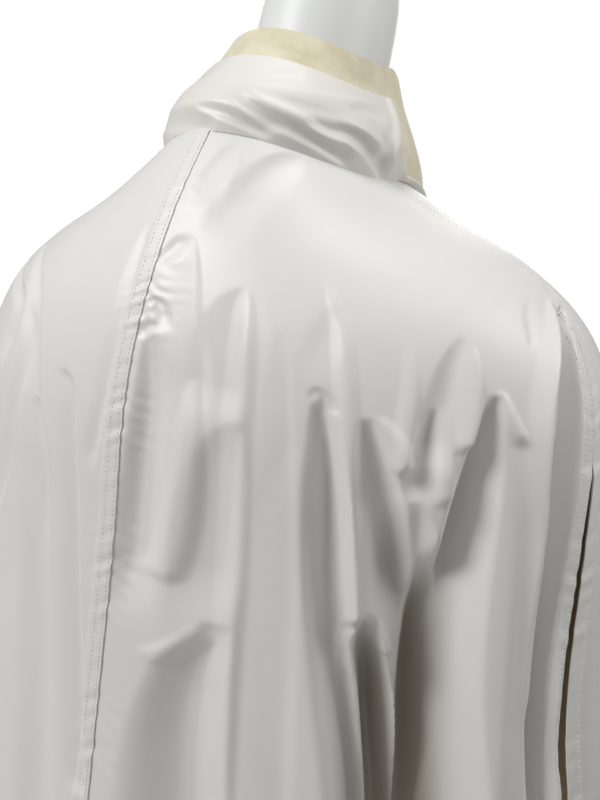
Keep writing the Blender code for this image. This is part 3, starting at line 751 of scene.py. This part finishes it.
def panel_points(panel):
    """A panel's outer points, normals, flat lengths and painted shade by the depth of its folds."""
    along = panel_rows()[:, None]
    share = crowded(PANEL_COLUMNS - 1, EDGE_CROWDING, EDGE_CROWDED_WIDTH)[None, :]
    seam = side_seam(along)
    start, end, slit_at = {
        "back_right": (0.0 * seam, seam, -1),
        "front_right": (seam, 0.0 * seam + 180.0 + LAP_HALF_ANGLE, 0),
        "front_left": (0.0 * seam + 180.0 - LAP_HALF_ANGLE, ROUND - seam, -1),
        "back_left": (ROUND - seam, 0.0 * seam + ROUND, 0),
    }[panel]
    angle = start + (end - start) * share
    along = along + 0.0 * share
    points = cape_surface(angle, along, panel == "back_left")
    normals = grid_normals(points)
    if panel == "front_left":
        near = np.abs(angle - 180.0)
        under = 1.0 - smooth_step(LAP_HALF_ANGLE, LAP_HALF_ANGLE + LAP_EASE_ANGLE, near)
        points = points - normals * (LAP_DEPTH * under)[..., None]
    points = ease_edges(panel, points, normals, slit_at)
    normals = grid_normals(points)
    across = np.cumsum(np.linalg.norm(np.diff(points, axis=1), axis=-1), axis=1)
    across = np.concatenate((np.zeros((len(across), 1)), across), axis=1)
    if slit_at == 0:
        across = across - across[:, -1:]
    flat = np.stack((across, along * CAPE_LENGTH), axis=-1)
    # Painted shade: the deeper the fold, the more the cloth takes the darker, warmer tone.
    painted_fold_shade = smooth_step(*PAINTED_FOLD_SHADE_DEPTHS, broad_depth(angle, along) - fine_height(angle, along))
    return points, normals, flat, painted_fold_shade


def beside_edge(grid, points, column, distance):
    """A grid's values on the line that runs at this distance from one of its side edges."""
    inward = points if column == 0 else points[:, ::-1]
    values = grid if column == 0 else grid[:, ::-1]
    rows = []
    for row, row_values in zip(inward, values):
        run = np.concatenate(((0.0,), np.cumsum(np.linalg.norm(np.diff(row, axis=0), axis=1))))
        rows.append([np.interp(distance, run, row_values[:, k]) for k in range(3)])
    return np.array(rows)


def above_hem(grid, points, distance):
    """A grid's values on the line that runs at this distance above its hem."""
    return beside_edge(np.swapaxes(grid, 0, 1), np.swapaxes(points, 0, 1), -1, distance)


def stitch_points(line, normals):
    """The points of a row of stitches: two ends and two square rings each."""
    run = np.concatenate(((0.0,), np.cumsum(np.linalg.norm(np.diff(line, axis=0), axis=1))))
    middle = np.arange(STITCH_PITCH, run[-1] - STITCH_PITCH, STITCH_PITCH)

    def at(places, values):
        return np.stack([np.interp(places, run, values[:, k]) for k in range(3)], axis=-1)

    start = at(middle - STITCH_LENGTH / 2, line)
    end = at(middle + STITCH_LENGTH / 2, line)
    outward = at(middle, normals)
    outward /= np.linalg.norm(outward, axis=-1, keepdims=True)
    beside = np.cross(end - start, outward)
    beside /= np.linalg.norm(beside, axis=-1, keepdims=True)
    sink = outward * STITCH_RADIUS * STITCH_SINK
    rise = outward * STITCH_RADIUS * STITCH_RISE
    made = [start - sink]
    for share in STITCH_RINGS:
        centre = start + (end - start) * share + rise
        for turn in range(STITCH_SIDES):
            angle = 2.0 * math.pi * turn / STITCH_SIDES
            ring = outward * math.cos(angle) + beside * math.sin(angle)
            made.append(centre + ring * STITCH_RADIUS)
    made.append(end - sink)
    return np.stack(made, axis=1).reshape(-1, 3)


def stitch_mesh(name, rows):
    """One mesh of all the stitches in these rows of (line, normals)."""
    points = np.concatenate([stitch_points(line, normals) for line, normals in rows])
    first = 1
    second = first + STITCH_SIDES
    last = STITCH_POINTS - 1
    one = []
    for turn in range(STITCH_SIDES):
        ahead = (turn + 1) % STITCH_SIDES
        one.append((0, first + ahead, first + turn))
        one.append((last, second + turn, second + ahead))
        one.append((first + turn, first + ahead, second + ahead))
        one.append((first + turn, second + ahead, second + turn))
    starts = STITCH_POINTS * np.arange(len(points) // STITCH_POINTS)
    faces = (np.array(one)[None] + starts[:, None, None]).reshape(-1, 3)
    mesh = bpy.data.meshes.new(name)
    mesh.from_pydata(points.tolist(), [], faces.tolist())
    mesh.shade_smooth()
    return mesh


def node_tree(look):
    look.use_nodes = True
    tree = look.node_tree
    return tree, tree.nodes["Principled BSDF"]


def link(tree, start, start_socket, end, end_socket):
    tree.links.new(start.outputs[start_socket], end.inputs[end_socket])


def noise(tree, scale, detail=2.0, roughness=0.5):
    place = tree.nodes.new("ShaderNodeTexCoord")
    made = tree.nodes.new("ShaderNodeTexNoise")
    made.inputs["Scale"].default_value = scale
    made.inputs["Detail"].default_value = detail
    made.inputs["Roughness"].default_value = roughness
    link(tree, place, "Object", made, "Vector")
    return made


def mixed_colours(tree, texture, first, second):
    """A blend of two colours by a texture."""
    spread = tree.nodes.new("ShaderNodeMapRange")
    spread.inputs["From Min"].default_value = BLEND_RANGE[0]
    spread.inputs["From Max"].default_value = BLEND_RANGE[1]
    link(tree, texture, "Fac", spread, "Value")
    mix = tree.nodes.new("ShaderNodeMix")
    mix.data_type = "RGBA"
    mix.inputs[6].default_value = (*first, 1.0)
    mix.inputs[7].default_value = (*second, 1.0)
    link(tree, spread, "Result", mix, "Factor")
    return mix


def bump(tree, source, strength, distance, below=None):
    """Relief from a texture, on top of another bump where one is given."""
    made = tree.nodes.new("ShaderNodeBump")
    made.inputs["Strength"].default_value = strength
    made.inputs["Distance"].default_value = distance
    link(tree, source, "Fac", made, "Height")
    if below:
        link(tree, below, "Normal", made, "Normal")
    return made


def thread_material():
    """Sewing thread, a little warmer than the cloth."""
    look = bpy.data.materials.new("thread")
    tree, shader = node_tree(look)
    shader.inputs["Roughness"].default_value = 0.55
    strands = noise(tree, 2500.0, 1.0)
    colour = mixed_colours(tree, strands, *THREAD_TONES)
    tree.links.new(colour.outputs[2], shader.inputs["Base Color"])
    return look


def lining_material(name):
    """The plain tan inside of the cloth."""
    look = bpy.data.materials.new(name)
    tree, shader = node_tree(look)
    shader.inputs["Roughness"].default_value = 0.60
    weave = noise(tree, 1600.0, 2.0)
    colour = mixed_colours(tree, weave, *LINING_TONES)
    tree.links.new(colour.outputs[2], shader.inputs["Base Color"])
    return look


def shell_material(name, tones):
    """Glossy tightly woven off-white cloth, with painted shade in its deep folds."""
    look = bpy.data.materials.new(name)
    tree, shader = node_tree(look)
    shader.inputs["Roughness"].default_value = 0.40
    shader.inputs["Sheen Weight"].default_value = 0.12
    shader.inputs["Sheen Roughness"].default_value = 0.35
    patches = noise(tree, 9.0, 3.0)
    colour = mixed_colours(tree, patches, *tones)
    # Painted shade: the colour mixes towards the dark warm tone in deep folds.
    painted_fold_shade = tree.nodes.new("ShaderNodeAttribute")
    painted_fold_shade.attribute_name = "painted_fold_shade"
    painted_shade_mix = tree.nodes.new("ShaderNodeMix")
    painted_shade_mix.data_type = "RGBA"
    painted_shade_mix.inputs[7].default_value = (*PAINTED_FOLD_SHADE_TONE, 1.0)
    tree.links.new(colour.outputs[2], painted_shade_mix.inputs[6])
    link(tree, painted_fold_shade, "Fac", painted_shade_mix, "Factor")
    tree.links.new(painted_shade_mix.outputs[2], shader.inputs["Base Color"])
    weave = bump(tree, noise(tree, 1800.0, 1.0), 0.10, 0.0002)
    crumple = bump(tree, noise(tree, 60.0, 4.0, 0.55), 0.10, 0.002, weave)
    link(tree, crumple, "Normal", shader, "Normal")
    return look


def nap_material():
    """Cream brushed cloth, mottled where its nap is rubbed."""
    look = bpy.data.materials.new("collar nap")
    tree, shader = node_tree(look)
    shader.inputs["Roughness"].default_value = 0.95
    shader.inputs["Sheen Weight"].default_value = 0.35
    shader.inputs["Sheen Roughness"].default_value = 0.5
    patches = noise(tree, 45.0, 6.0, 0.65)
    colour = mixed_colours(tree, patches, *NAP_TONES)
    tree.links.new(colour.outputs[2], shader.inputs["Base Color"])
    fibres = bump(tree, noise(tree, 1400.0, 3.0), 0.5, 0.0004)
    link(tree, fibres, "Normal", shader, "Normal")
    return look


def form_material():
    """Satin pale grey-white plastic."""
    look = bpy.data.materials.new("form satin")
    tree, shader = node_tree(look)
    shader.inputs["Roughness"].default_value = 0.42
    patches = noise(tree, 14.0, 2.0)
    colour = mixed_colours(tree, patches, *FORM_TONES)
    tree.links.new(colour.outputs[2], shader.inputs["Base Color"])
    grain = bump(tree, noise(tree, 900.0, 2.0), 0.05, 0.0002)
    link(tree, grain, "Normal", shader, "Normal")
    return look


def steel_material():
    """Brushed steel of the pole and the base."""
    look = bpy.data.materials.new("brushed steel")
    tree, shader = node_tree(look)
    shader.inputs["Metallic"].default_value = 1.0
    scratches = noise(tree, 300.0, 6.0)
    colour = mixed_colours(tree, scratches, *STEEL_TONES)
    tree.links.new(colour.outputs[2], shader.inputs["Base Color"])
    rough = tree.nodes.new("ShaderNodeMapRange")
    rough.inputs["To Min"].default_value = STEEL_ROUGHNESS[0]
    rough.inputs["To Max"].default_value = STEEL_ROUGHNESS[1]
    link(tree, scratches, "Fac", rough, "Value")
    link(tree, rough, "Result", shader, "Roughness")
    return look


def build_cape():
    thread = thread_material()
    for panel in ("back_left", "back_right", "front_left", "front_right"):
        points, normals, flat, painted_fold_shade = panel_points(panel)
        mesh = shell_mesh(panel + "_cloth", points, inner_face(points, normals, CLOTH), flat)
        # The painted shade of the deep folds, kept on the mesh for its material.
        shade = mesh.attributes.new("painted_fold_shade", "FLOAT", "POINT")
        both = np.concatenate((painted_fold_shade.ravel(), painted_fold_shade[::2, ::2].ravel()))
        shade.data.foreach_set("value", both.astype(np.float32))
        looks = (shell_material(panel + " shell", BACK_TONES), lining_material(panel + " inside"))
        cloth = put(panel + "_cloth", mesh, looks, (panel,))
        rows = []
        for column, distance in STITCH_ROWS[panel]:
            rows.append((beside_edge(points, points, column, distance),
                         beside_edge(normals, points, column, distance)))
        rows.append((above_hem(points, points, HEM_DEPTH), above_hem(normals, points, HEM_DEPTH)))
        stitches = put(panel + "_stitches", stitch_mesh(panel + "_stitches", rows), (thread,))


def collar_point(angle, up):
    """Points on the collar's outer face. The angle is measured as on the cape."""
    sine, cosine = ring_shape(angle, 1.0 - up)
    behind = cosine >= 0.0
    centre_y = through(COLLAR_RINGS, 1, up)
    half_width = through(COLLAR_RINGS, 2, up)
    back_reach = through(COLLAR_RINGS, 3, up) - centre_y
    front_reach = through(COLLAR_RINGS, 4, up) + centre_y
    reach = np.where(behind, back_reach, front_reach)
    end_height = np.where(behind, COLLAR_HEIGHT_BACK, COLLAR_HEIGHT_FRONT)
    height = COLLAR_HEIGHT_SIDE + (end_height - COLLAR_HEIGHT_SIDE) * cosine * cosine
    base_z = cape_base(angle, 0.0 * angle)[..., 2]
    return np.stack((-half_width * sine, centre_y + reach * cosine, base_z + height * up), axis=-1)


def collar_crease_height(angle, up):
    """How far the collar's wrinkles lift it, in metres."""
    angle, up = np.broadcast_arrays(angle, up)
    total = np.zeros(angle.shape)
    radius = COLLAR_RINGS[2][2]
    across = np.radians(angle) * radius
    down = -up * COLLAR_HEIGHT_BACK
    for path, *sizes in COLLAR_CREASES:
        angles, ups = eased_path(path)
        line = (np.radians(angles) * radius, -ups * COLLAR_HEIGHT_BACK)
        add_crease(total, across, down, line, sizes)
    return total


def collar_layer(name, inset, thickness, reach, looks, node, puffed, creased):
    """One layer of the collar, puffed out between its edges."""
    angle = np.linspace(-180.0 + COLLAR_OPEN_HALF, 180.0 - COLLAR_OPEN_HALF, COLLAR_COLUMNS)[None, :]
    share = np.linspace(1.0, 0.0, COLLAR_ROWS)[:, None]
    forward = smooth_step(COLLAR_ROLL_START, COLLAR_ROLL_END, np.abs(angle))
    height = reach * (1.0 - COLLAR_ROLL_CUT * forward) if creased else reach + 0.0 * forward
    up = height * share
    angle = angle + 0.0 * share
    point = collar_point(angle, up)
    point[..., 2] += COLLAR_SEAT * (1.0 - share) if creased else SEAM_GAP
    turn = np.radians(angle)
    outward = np.stack((-np.sin(turn), np.cos(turn), 0.0 * turn), axis=-1)
    lift = puffed * np.sin(math.pi * up / height) - inset
    if creased:
        lift = lift + COLLAR_OVERHANG * (1.0 - share) + collar_crease_height(angle, up)
        lift = 0.5 * (lift - COLLAR_DEEPEST + np.hypot(lift + COLLAR_DEEPEST, COLLAR_FLOOR_EASE))
    else:
        lift = lift + COLLAR_FLARE * forward * (1.0 - COLLAR_FLARE_FADE * up)
    outer = point + outward * lift[..., None]
    inner = inner_face(outer, grid_normals(outer), thickness)
    flat = np.stack((turn * COLLAR_RINGS[0][2], up * COLLAR_HEIGHT_BACK), axis=-1)
    mesh = shell_mesh(name, outer, inner, flat)
    made = put(name, mesh, looks, (node,))
    return made


def build_collar():
    shell_looks = (shell_material("collar shell", COLLAR_TONES), lining_material("collar inside"))
    nap = nap_material()
    collar_layer("collar_shell", 0.0, COLLAR_OUTER_WALL, OUTER_COLLAR_SHARE, shell_looks,
                 "collar_outer", COLLAR_PUFF, True)
    collar_layer("collar_nap", COLLAR_OUTER_WALL + REST_GAP, COLLAR_INNER_WALL, 1.0, (nap, nap),
                 "collar_inner", 0.0, False)


def smooth_copy(node, name, look, rounding=0):
    """A smooth piece in the place of a faceted solid, rounded further where asked."""
    work = bmesh.new()
    work.from_mesh(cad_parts[node].data)
    bmesh.ops.remove_doubles(work, verts=work.verts, dist=WELD_DISTANCE)
    bmesh.ops.join_triangles(work, faces=work.faces, angle_face_threshold=math.radians(JOINED_ANGLE),
                             angle_shape_threshold=math.radians(ROUND / 2))
    mesh = bpy.data.meshes.new(name)
    work.to_mesh(mesh)
    work.free()
    mesh.shade_smooth()
    if not rounding:
        mesh.set_sharp_from_angle(angle=math.radians(STEEL_SHARP_ANGLE))
    made = put(name, mesh, (look,), (node,))
    if rounding:
        rounded = made.modifiers.new("rounded", "SUBSURF")
        rounded.levels = rounding
        rounded.render_levels = rounding
    return made


def build_form():
    smooth_copy("form_torso", "form_body", form_material(), 2)
    steel = steel_material()
    smooth_copy("form_pole", "form_stem", steel)
    smooth_copy("form_base", "form_foot", steel)


def camera_axes():
    """The camera's right, up and back directions, its roll included."""
    azimuth = math.radians(CAMERA_AZIMUTH)
    elevation = math.radians(CAMERA_ELEVATION)
    roll = math.radians(CAMERA_ROLL)
    back = np.array((math.sin(azimuth) * math.cos(elevation),
                     -math.cos(azimuth) * math.cos(elevation), math.sin(elevation)))
    right = np.array((math.cos(azimuth), math.sin(azimuth), 0.0))
    up = np.cross(back, right)
    rolled_right = right * math.cos(roll) + up * math.sin(roll)
    rolled_up = up * math.cos(roll) - right * math.sin(roll)
    return rolled_right, rolled_up, back


def add_camera():
    right, up, back = camera_axes()
    lens = bpy.data.cameras.new("camera")
    lens.lens = CAMERA_LENS
    lens.sensor_width = CAMERA_SENSOR
    lens.clip_start = CAMERA_NEAR
    camera = bpy.data.objects.new("camera", lens)
    rows = [(right[k], up[k], back[k], CAMERA_PLACE[k]) for k in range(3)]
    camera.matrix_world = Matrix(rows + [(0.0, 0.0, 0.0, 1.0)])
    bpy.context.scene.collection.objects.link(camera)
    bpy.context.scene.camera = camera


def area_light(name, target, side, height, behind, size, power, colour):
    """A soft square light that aims at its target."""
    right, up, back = camera_axes()
    place = target + right * side + up * height + back * behind
    lamp = bpy.data.lights.new(name, "AREA")
    lamp.shape = "SQUARE"
    lamp.size = size
    lamp.energy = power
    lamp.color = colour
    aim = (target - place) / np.linalg.norm(target - place)
    held = bpy.data.objects.new(name, lamp)
    held.matrix_world = Matrix.Translation(place) @ look_along(aim)
    bpy.context.scene.collection.objects.link(held)


def look_along(aim):
    """A rotation that turns -Z to the aim."""
    back = -aim
    right = np.cross((0.0, 0.0, 1.0), back)
    right /= np.linalg.norm(right)
    up = np.cross(back, right)
    rows = [(right[k], up[k], back[k], 0.0) for k in range(3)]
    return Matrix(rows + [(0.0, 0.0, 0.0, 1.0)])


def add_studio():
    for light in LIGHTS:
        area_light(*light)
    world = bpy.data.worlds.new("studio")
    bpy.context.scene.world = world
    world.use_nodes = True
    tree = world.node_tree
    shade = tree.nodes["Background"]
    shade.inputs["Color"].default_value = (1.0, 1.0, 1.0, 1.0)
    path = tree.nodes.new("ShaderNodeLightPath")
    strength = tree.nodes.new("ShaderNodeMapRange")
    strength.inputs["To Min"].default_value = WORLD_LIGHT
    strength.inputs["To Max"].default_value = 1.0
    link(tree, path, "Is Camera Ray", strength, "Value")
    link(tree, strength, "Result", shade, "Strength")
    bpy.context.scene.view_settings.view_transform = "Standard"


def add_floor():
    """A wide pale floor that looks white to the camera."""
    mesh = bpy.data.meshes.new("floor")
    signs = ((-1, -1), (1, -1), (1, 1), (-1, 1))
    corners = [(x * FLOOR_REACH, y * FLOOR_REACH, 0.0) for x, y in signs]
    mesh.from_pydata(corners, [], [(0, 1, 2, 3)])
    floor = bpy.data.objects.new("floor", mesh)
    bpy.context.scene.collection.objects.link(floor)
    look = bpy.data.materials.new("pale floor")
    tree, shader = node_tree(look)
    shader.inputs["Base Color"].default_value = (0.86, 0.86, 0.86, 1.0)
    shader.inputs["Roughness"].default_value = 0.9
    shader.inputs["Specular IOR Level"].default_value = 0.0
    shader.inputs["Emission Color"].default_value = (1.0, 1.0, 1.0, 1.0)
    path = tree.nodes.new("ShaderNodeLightPath")
    link(tree, path, "Is Camera Ray", shader, "Emission Strength")
    floor.data.materials.append(look)


add_camera()
add_studio()
add_floor()
build_cape()
build_collar()
build_form()
